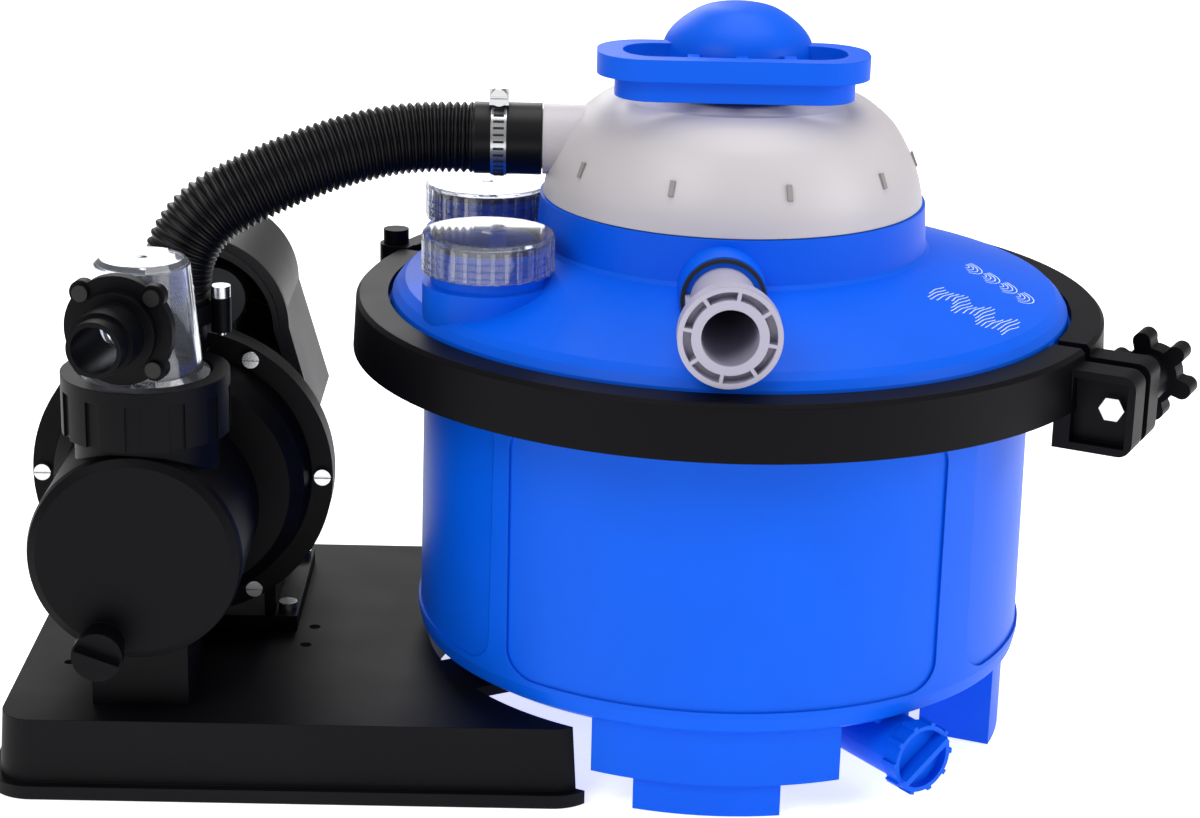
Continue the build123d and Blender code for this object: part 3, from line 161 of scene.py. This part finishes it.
# What each finish gives the eye, by the record's slot. Dark and blue plastics have an index
# lower than the real 1.5, which keeps them deep in colour on a bright floor.
FINISHES: dict[str, Moulding] = {
    # Polypropylene coloured through: strong blue, broad soft highlights.
    "tank_blue": Moulding("blue_polypropylene", "005AE0", 0.42, ior=1.22),
    # Glass-filled nylon: satin black.
    "band_black": Moulding("black_glass_filled_nylon", "040408", 0.48, ior=1.2),
    "pump_black": Moulding("black_moulded_polypropylene", "030306", 0.48, ior=1.2),
    # Spark-eroded mould face: even, fine, dull grey.
    "hood_grey": Moulding("dark_grey_grained_abs", "131316", 0.5, grain_mm=1.4,
                          grain_height_mm=0.05),
    "tray_black": Moulding("black_grained_polypropylene", "060609", 0.54, ior=1.22,
                           grain_mm=1.6, grain_height_mm=0.06),
    # Warm pale ABS, satin.
    "dome_grey": Moulding("pale_grey_abs", "C0BBBD", 0.42, mottle=0.02),
    "port_grey": Moulding("lilac_grey_abs", "A7A3B6", 0.4, mottle=0.03),
    # Polished polycarbonate: sharp reflections, a faint cool tint.
    "clear": Moulding("clear_polycarbonate", "EEF1FA", 0.06, ior=1.58, transmission=0.96,
                      grain_height_mm=0.004, mottle=0.0),
    "hose_black": Moulding("black_polyethylene_hose", "040407", 0.38, ior=1.3, edge_mm=0.3),
    "seal_rubber": Moulding("black_nitrile_rubber", "0B0B0C", 0.65),
    # Drawn stainless: bright with a broken highlight.
    "steel": Moulding("drawn_stainless_steel", "C9CACC", 0.24, metallic=1.0, edge_mm=0.2,
                      mottle=0.03),
    # Black-coated screws: dull, with the steel only hinted at.
    "black_screws": Moulding("black_coated_steel", "0B0B0D", 0.45, metallic=0.3, edge_mm=0.2),
    "motor_metal": Moulding("painted_cast_aluminium", "55575B", 0.45, metallic=0.6),
    "laminations": Moulding("stacked_steel_laminations", "6B6860", 0.5, metallic=1.0),
    "inner_white": Moulding("natural_abs", "DEDDD6", 0.45),
}


def mesh_object(name: str, points: list, faces: list, material: bpy.types.Material,
                smooth: bool = True) -> bpy.types.Object:
    """Make a mesh object at the origin.

    Args:
        name: Piece name.
        points: Corner points in metres, in the row frame.
        faces: Corner indices of each face.
        material: Finish of the whole piece.
        smooth: Whether faces are smooth shaded.

    Returns:
        The linked object.
    """
    mesh = bpy.data.meshes.new(name)
    mesh.from_pydata([tuple(p) for p in points], [], faces)
    mesh.materials.append(material)
    for face in mesh.polygons:
        face.use_smooth = smooth
    made = bpy.data.objects.new(name, mesh)
    bpy.context.scene.collection.objects.link(made)
    return made


def tube_mesh(name: str, centres: list, frames: list, rings: list, sides: int,
              material: bpy.types.Material) -> bpy.types.Object:
    """Join rings round a path into one closed wall.

    Args:
        name: Piece name.
        centres: Points along the path.
        frames: Two unit vectors across the path at each point.
        rings: (index of a path point, radius) for each ring, outer wall then inner wall.
        sides: Corners in each ring.
        material: Finish.

    Returns:
        The linked object.
    """
    points, faces = [], []
    for index, radius in rings:
        across, up = frames[index]
        for side in range(sides):
            turn = 2 * math.pi * side / sides
            points.append(centres[index] + (across * math.cos(turn) + up * math.sin(turn)) * radius)
    count = len(rings)
    for ring in range(count):
        for side in range(sides):
            here, there = ring * sides, (ring + 1) % count * sides
            after = (side + 1) % sides
            faces.append((here + side, here + after, there + after, there + side))
    return mesh_object(name, points, faces, material)


@dataclass
class RingArray:
    """Equal blocks in a circle, laid out by Geometry Nodes: grips, flutes and slots."""

    name: str
    count: int
    radius_mm: float
    size_mm: tuple[float, float, float]
    centre: Vector
    body: str
    slot: str
    tilt_deg: float = 0.0
    start_deg: float = 0.0
    lean: tuple[float, float, float] = (0.0, 0.0, 0.0)

    def tree(self, material: bpy.types.Material) -> bpy.types.NodeTree:
        """Build the node tree with named inputs.

        Args:
            material: Finish set on the blocks.

        Returns:
            The geometry node tree.
        """
        tree = bpy.data.node_groups.new(self.name + "_layout", "GeometryNodeTree")
        sockets = tree.interface
        sockets.new_socket("Geometry", in_out="OUTPUT", socket_type="NodeSocketGeometry")
        sockets.new_socket("Count", in_out="INPUT", socket_type="NodeSocketInt")
        sockets.new_socket("Radius", in_out="INPUT", socket_type="NodeSocketFloat")
        sockets.new_socket("Size", in_out="INPUT", socket_type="NodeSocketVector")
        sockets.new_socket("Tilt", in_out="INPUT", socket_type="NodeSocketFloat")
        sockets.new_socket("Start", in_out="INPUT", socket_type="NodeSocketFloat")
        given = add_node(tree, "NodeGroupInput").outputs
        circle = add_node(tree, "GeometryNodeMeshCircle",
                          {"Vertices": given["Count"], "Radius": given["Radius"]})
        block = add_node(tree, "GeometryNodeMeshCube", {"Size": given["Size"]})
        step = add_node(tree, "ShaderNodeMath", {1: given["Count"]}, {0: 2 * math.pi},
                        operation="DIVIDE")
        turn = add_node(tree, "ShaderNodeMath",
                        {0: add_node(tree, "GeometryNodeInputIndex").outputs[0],
                         1: step.outputs[0]}, operation="MULTIPLY")
        spin = add_node(tree, "ShaderNodeCombineXYZ", {"Y": given["Tilt"], "Z": turn.outputs[0]})
        placed = add_node(tree, "GeometryNodeInstanceOnPoints",
                          {"Points": circle.outputs["Mesh"], "Instance": block.outputs["Mesh"],
                           "Rotation": spin.outputs[0]})
        real = add_node(tree, "GeometryNodeRealizeInstances", {0: placed.outputs[0]})
        first = add_node(tree, "ShaderNodeCombineXYZ", {"Z": given["Start"]})
        begun = add_node(tree, "GeometryNodeTransform",
                         {0: real.outputs[0], "Rotation": first.outputs[0]})
        moved = add_node(tree, "GeometryNodeTransform", {0: begun.outputs[0]},
                         {"Translation": self.centre, "Rotation": self.lean})
        dressed = add_node(tree, "GeometryNodeSetMaterial", {0: moved.outputs[0]},
                           {"Material": material})
        add_node(tree, "NodeGroupOutput", {0: dressed.outputs[0]})
        return tree

    def build(self, material: bpy.types.Material) -> bpy.types.Object:
        """Make the plain mesh, riding on its body.

        Args:
            material: Finish.

        Returns:
            The linked object.
        """
        holder = mesh_object(self.name, [(0, 0, 0)], [], material)
        modifier = holder.modifiers.new("layout", "NODES")
        modifier.node_group = self.tree(material)
        wanted = {"Count": self.count, "Radius": self.radius_mm * MM,
                  "Size": [s * MM for s in self.size_mm], "Tilt": math.radians(self.tilt_deg),
                  "Start": math.radians(self.start_deg)}
        for item in modifier.node_group.interface.items_tree:
            if item.item_type == "SOCKET" and item.in_out == "INPUT":
                modifier[item.identifier] = wanted[item.name]
        evaluated = holder.evaluated_get(bpy.context.evaluated_depsgraph_get())
        plain = bpy.data.meshes.new_from_object(evaluated)
        holder.modifiers.clear()
        holder.data = plain
        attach(holder, self.body)
        LOG.info("%s: %d faces on %s", self.name, len(plain.polygons), self.body)
        return holder


@dataclass
class CorrugatedHose:
    """Black hose with moulded rings between two smooth cuffs, clamped at both ends."""

    pitch_mm: float = 3.8
    root_mm: float = 16.2
    crest_mm: float = 18.2
    cuff_mm: float = 18.4
    bore_mm: float = 15.5
    pump_cuff_mm: float = 13.5
    valve_cuff_mm: float = 35.0
    length_mm: float = 240.0
    steps_per_ring: int = 8
    crest_power: float = 0.7
    sides: int = 56
    route: tuple = (
        (-284.0, -33.0, 216.5), (-284.0, -33.0, 230.0), (-284.0, -33.0, 243.0),
        (-280.4, -32.2, 255.5), (-273.5, -30.5, 266.5), (-263.8, -28.0, 275.2),
        (-252.2, -24.9, 281.5), (-233.0, -19.5, 290.5), (-207.0, -12.0, 300.0),
        (-179.0, -4.0, 306.3), (-156.0, 0.0, 308.0), (-134.0, 0.0, 308.0), (-99.0, 0.0, 308.0),
    )

    def centreline(self, tank: Vector) -> list[Vector]:
        """Follow the route as one spline.

        Args:
            tank: Where the tank's axis meets the ground.

        Returns:
            Points close together along the hose.
        """
        curve = bpy.data.curves.new("hose_route", "CURVE")
        curve.dimensions = "3D"
        spline = curve.splines.new("NURBS")
        spline.points.add(len(self.route) - 1)
        for point, place in zip(spline.points, self.route):
            point.co = (*(tank + Vector(place) * MM), 1.0)
        spline.order_u = 3
        spline.use_endpoint_u = True
        spline.resolution_u = 24
        holder = bpy.data.objects.new("hose_route", curve)
        bpy.context.scene.collection.objects.link(holder)
        evaluated = holder.evaluated_get(bpy.context.evaluated_depsgraph_get())
        mesh = bpy.data.meshes.new_from_object(evaluated)
        points = [v.co.copy() for v in mesh.vertices]
        bpy.data.objects.remove(holder)
        bpy.data.meshes.remove(mesh)
        return points

    def evenly(self, points: list[Vector], step: float) -> list[Vector]:
        """Space points evenly along a path.

        Args:
            points: The path.
            step: Spacing in metres.

        Returns:
            The new points, both ends among them.
        """
        lengths = [0.0]
        for before, after in zip(points, points[1:]):
            lengths.append(lengths[-1] + (after - before).length)
        count = round(lengths[-1] / step)
        spaced, at = [], 0
        for index in range(count + 1):
            target = lengths[-1] * index / count
            while at < len(points) - 2 and lengths[at + 1] < target:
                at += 1
            span = lengths[at + 1] - lengths[at] or 1.0
            spaced.append(points[at].lerp(points[at + 1], (target - lengths[at]) / span))
        return spaced

    def radius(self, along: float, length: float) -> float:
        """Outer radius at a distance along the hose.

        Args:
            along: Distance from the pump end, in mm.
            length: Whole length, in mm.

        Returns:
            The radius in mm.
        """
        if along < self.pump_cuff_mm or along > length - self.valve_cuff_mm:
            return self.cuff_mm
        wave = 0.5 + 0.5 * math.cos(2 * math.pi * (along - self.pump_cuff_mm) / self.pitch_mm)
        return self.root_mm + (self.crest_mm - self.root_mm) * wave ** self.crest_power

    def build(self, tank: Vector, material: bpy.types.Material) -> bpy.types.Object:
        """Build the hose and log its length.

        Args:
            tank: Where the tank's axis meets the ground.
            material: Finish.

        Returns:
            The hose.
        """
        centres = self.evenly(self.centreline(tank), self.pitch_mm * MM / self.steps_per_ring)
        length = sum((b - a).length for a, b in zip(centres, centres[1:]))
        frames, up = [], Vector((0, 1, 0))
        for index, _ in enumerate(centres):
            ahead = (centres[min(index + 1, len(centres) - 1)] - centres[max(index - 1, 0)])
            ahead.normalize()
            up = (up - ahead * up.dot(ahead)).normalized()
            frames.append((up.cross(ahead).normalized(), up.copy()))
        step = length / (len(centres) - 1) / MM
        outer = [(i, self.radius(i * step, length / MM) * MM) for i in range(len(centres))]
        inner = [(i, self.bore_mm * MM)
                 for i in range(len(centres) - 1, -1, -self.steps_per_ring)]
        hose = tube_mesh("hose_moulding", centres, frames, outer + inner, self.sides, material)
        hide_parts("hose", "hose_cuffs")
        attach(hose, "filter_set")
        LOG.info("hose: %.1f mm long, %d faces", length / MM, len(hose.data.polygons))
        return hose


@dataclass
class CapGrips:
    """Grip ribs on the clear filling caps, and the thread turns seen through them."""

    places: tuple = (("front", -124.0, -68.0), ("rear", -128.0, 44.0))
    rib_count: int = 30
    rib_mm: tuple = (1.2, 2.4, 15.0)
    rib_z_mm: float = 264.5
    cap_radius_mm: float = 32.4
    thread_radius_mm: float = 28.9
    thread_section_mm: float = 0.6
    thread_count: int = 3
    thread_z_mm: float = 258.5
    thread_gap_mm: float = 3.6

    def build(self, tank: Vector, finishes: dict[str, bpy.types.Material]) -> None:
        """Build both caps' ribs and the neck threads under them.

        Args:
            tank: Where the tank's axis meets the ground.
            finishes: Materials by slot.
        """
        for side, x, y in self.places:
            centre = tank + Vector((x, y, self.rib_z_mm)) * MM
            RingArray(f"sight_{side}_grips", self.rib_count, self.cap_radius_mm, self.rib_mm,
                      centre, f"sight_{side}_cap", "clear").build(finishes["clear"])
            for turn in range(self.thread_count):
                height = self.thread_z_mm + turn * self.thread_gap_mm
                thread = ring_mesh(f"neck_{side}_thread_{turn + 1}",
                                   tank + Vector((x, y, height)) * MM, self.thread_radius_mm * MM,
                                   self.thread_section_mm * MM, finishes["tank_blue"])
                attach(thread, "filter_set")


def ring_mesh(name: str, centre: Vector, radius: float, thick: float,
              material: bpy.types.Material) -> bpy.types.Object:
    """Make a level round ring.

    Args:
        name: Piece name.
        centre: Middle of the ring, in metres.
        radius: Radius of the ring's own centreline, in metres.
        thick: Radius of its section, in metres.
        material: Finish.

    Returns:
        The linked object.
    """
    points, faces = [], []
    for i in range(RING_SIDES):
        turn = 2 * math.pi * i / RING_SIDES
        out = Vector((math.cos(turn), math.sin(turn), 0.0))
        for j in range(SECTION_SIDES):
            roll = 2 * math.pi * j / SECTION_SIDES
            points.append(centre + out * (radius + thick * math.cos(roll))
                          + Vector((0, 0, thick * math.sin(roll))))
    for i in range(RING_SIDES):
        for j in range(SECTION_SIDES):
            here, there = i * SECTION_SIDES, (i + 1) % RING_SIDES * SECTION_SIDES
            after = (j + 1) % SECTION_SIDES
            faces.append((here + j, there + j, there + after, here + after))
    return mesh_object(name, points, faces, material)


@dataclass
class LidPrint:
    """Plain curved lines on the lid's right shoulder, in two groups. They say nothing."""

    line_mm: float = 0.45
    lift_mm: float = 0.12
    sink_mm: float = 0.3
    cone_z_mm: float = 236.5
    cone_r_mm: float = 169.0
    slope: float = 0.3106
    points_per_line: int = 9
    arc_groups: int = 4
    arcs_per_group: int = 4
    first_arc_mm: float = 3.0
    arc_gap_mm: float = 2.3
    arc_start_deg: int = -68
    arc_step_deg: int = 17
    row_count: int = 22
    row_start_mm: int = 122
    row_gap_mm: float = 2.0

    def on_cone(self, tank: Vector, radius: float, angle: float) -> Vector:
        """A point just above the lid's cone.

        Args:
            tank: Where the tank's axis meets the ground.
            radius: Distance from the tank's axis, in mm.
            angle: Direction from the tank's axis, in degrees.

        Returns:
            The point in metres.
        """
        height = self.cone_z_mm + (self.cone_r_mm - radius) * self.slope + self.lift_mm
        turn = math.radians(angle)
        return tank + Vector((radius * math.cos(turn), radius * math.sin(turn), height)) * MM

    def strokes(self) -> list[list[tuple[float, float]]]:
        """Lay out both groups.

        Returns:
            Each line as (radius, angle) pairs.
        """
        lines = []
        for fan in range(self.arc_groups):
            for ring in range(self.arcs_per_group):
                reach = self.first_arc_mm + ring * self.arc_gap_mm
                spread = [math.radians(self.arc_start_deg + self.arc_step_deg * step)
                          for step in range(self.points_per_line)]
                centre_r, centre_a = 121 + fan * 9.5, -11 - fan * 2.2
                lines.append([(centre_r + reach * math.cos(t),
                               centre_a + math.degrees(reach * math.sin(t) / centre_r))
                              for t in spread])
        for row in range(self.row_count):
            radius = self.row_start_mm + row * self.row_gap_mm
            middle = -36 - 1.8 * math.sin(row * 0.9)
            half = 2.6 + 1.5 * abs(math.sin(row * 0.55 + 0.6))
            lines.append([(radius + 0.5 * math.cos(step * 0.8), middle - half + half * step / 4)
                          for step in range(self.points_per_line)])
        return lines

    def build(self, tank: Vector, material: bpy.types.Material) -> bpy.types.Object:
        """Build the lines as one thin raised print.

        Args:
            tank: Where the tank's axis meets the ground.
            material: Finish.

        Returns:
            The piece.
        """
        points, faces = [], []
        half = self.line_mm / 2 * MM
        sink = Vector((0, 0, -self.sink_mm)) * MM
        for line in self.strokes():
            path = [self.on_cone(tank, radius, angle) for radius, angle in line]
            start = len(points)
            for index, place in enumerate(path):
                ahead = path[min(index + 1, len(path) - 1)] - path[max(index - 1, 0)]
                side = ahead.cross(Vector((0, 0, 1))).normalized() * half
                points.extend((place + side, place - side, place - side + sink,
                               place + side + sink))
            for index in range(len(path) - 1):
                a, b = start + 4 * index, start + 4 * index + 4
                for k in range(4):
                    faces.append((a + k, a + (k + 1) % 4, b + (k + 1) % 4, b + k))
            end = start + 4 * (len(path) - 1)
            faces.append((start + 3, start + 2, start + 1, start))
            faces.append((end, end + 1, end + 2, end + 3))
        made = mesh_object("lid_line_print", points, faces, material, smooth=False)
        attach(made, "filter_set")
        LOG.info("lid print: %d lines", len(self.strokes()))
        return made


@dataclass
class Studio:
    """Pale floor, soft light and the camera."""

    lens_mm: float = 81.0
    camera_mm: tuple = (-83.78, -1365.92, 600.14)
    right: tuple = (0.99971932, -0.00579816, 0.02297097)
    up: tuple = (-0.02010497, 0.30528989, 0.9520472)
    ahead: tuple = (0.01253293, 0.95224181, -0.30508763)
    sensor_mm: float = 36.0
    floor_half_m: float = 6.0
    floor_drop_m: float = 0.0004
    floor_glow: float = 0.7
    floor_roughness: float = 0.85
    air_strength: float = 0.35
    # Name, place in metres, side in metres, power in watts.
    softboxes: tuple = (
        ("key_softbox", (-1.1, -1.4, 1.7), 1.1, 19.0),
        ("top_softbox", (0.2, 0.2, 2.0), 1.4, 22.0),
        ("side_softbox", (1.7, -0.7, 0.9), 0.8, 12.0),
        ("back_softbox", (-0.4, 1.8, 1.1), 1.0, 10.0),
    )
    aim_m: tuple = (0.0, 0.0, 0.18)

    def lamp(self, name: str, place: tuple, aim: Vector, side_m: float, watts: float) -> None:
        """Hang one square soft light.

        Args:
            name: Light name.
            place: Position in metres.
            aim: Point it faces.
            side_m: Side of the square.
            watts: Power.
        """
        light = bpy.data.lights.new(name, "AREA")
        light.shape, light.size, light.energy = "SQUARE", side_m, watts
        made = bpy.data.objects.new(name, light)
        made.location = place
        made.rotation_euler = (aim - Vector(place)).to_track_quat("-Z", "Y").to_euler()
        bpy.context.scene.collection.objects.link(made)

    def build(self, tank: Vector) -> None:
        """Set the floor, lights and camera.

        Args:
            tank: Where the tank's axis meets the ground.
        """
        floor_finish = bpy.data.materials.new("pale_floor")
        floor_finish.use_nodes = True
        shader = floor_finish.node_tree.nodes["Principled BSDF"]
        shader.inputs["Base Color"].default_value = linear("FFFFFF")
        shader.inputs["Emission Color"].default_value = (1.0, 1.0, 1.0, 1.0)
        shader.inputs["Emission Strength"].default_value = self.floor_glow
        shader.inputs["Roughness"].default_value = self.floor_roughness
        half = self.floor_half_m
        floor = mesh_object("floor", [(-half, -half, 0), (half, -half, 0), (half, half, 0),
                                      (-half, half, 0)],
                            [(0, 1, 2, 3)], floor_finish)
        floor.location.z = -self.floor_drop_m
        world = bpy.data.worlds.new("studio_air")
        world.use_nodes = True
        background = world.node_tree.nodes["Background"]
        background.inputs["Color"].default_value = (1.0, 1.0, 1.0, 1.0)
        background.inputs["Strength"].default_value = self.air_strength
        bpy.context.scene.world = world
        bpy.context.scene.view_settings.view_transform = "Standard"
        for name, place, side_m, watts in self.softboxes:
            self.lamp(name, place, Vector(self.aim_m), side_m, watts)
        camera = bpy.data.objects.new("camera", bpy.data.cameras.new("camera"))
        camera.data.lens = self.lens_mm
        camera.data.sensor_width = self.sensor_mm
        columns = Matrix((self.right, self.up, tuple(-c for c in self.ahead))).transposed()
        stand = Matrix.Translation(tank + Vector(self.camera_mm) * MM)
        camera.matrix_world = stand @ columns.to_4x4()
        bpy.context.scene.collection.objects.link(camera)
        bpy.context.scene.camera = camera


def dress_cad(finishes: dict[str, bpy.types.Material]) -> None:
    """Give every CAD node the finish of its slot.

    Args:
        finishes: Materials by slot.
    """
    for part in frame["record"]["subparts"]:
        node = frame["nodes"][part["node"]]
        node.data.materials.clear()
        node.data.materials.append(finishes[part["material_slot"]])


def main() -> None:
    """Build the looks in order."""
    logging.basicConfig(level=logging.INFO, format="%(name)s %(message)s")
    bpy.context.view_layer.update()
    low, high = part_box("tank_body")
    tank = Vector(((low.x + high.x) / 2, (low.y + high.y) / 2, 0.0))
    finishes = {slot: finish.build() for slot, finish in FINISHES.items()}
    dress_cad(finishes)
    CorrugatedHose().build(tank, finishes["hose_black"])
    CapGrips().build(tank, finishes)
    LidPrint().build(tank, WHITE_PRINT.build())
    # Dome vent slots: blocks in the painted slot shade grey, where the real slots hold only shade.
    RingArray(name="dome_slots", count=10, radius_mm=92.6, size_mm=(1.2, 2.6, 8.0),
              centre=tank + Vector((0, 0, 303.0)) * MM, body="filter_set", slot="dome_grey",
              tilt_deg=-22.0, start_deg=-76.0).build(SLOT_SHADE.build())
    RingArray(name="worm_band_slots", count=34, radius_mm=19.3, size_mm=(0.5, 1.1, 5.4),
              centre=tank + Vector((-121.0, 0, 308.0)) * MM, body="filter_set", slot="steel",
              lean=(0.0, math.pi / 2, 0.0)).build(finishes["seal_rubber"])
    Studio().build(tank)


if __name__ == "__main__":
    main()
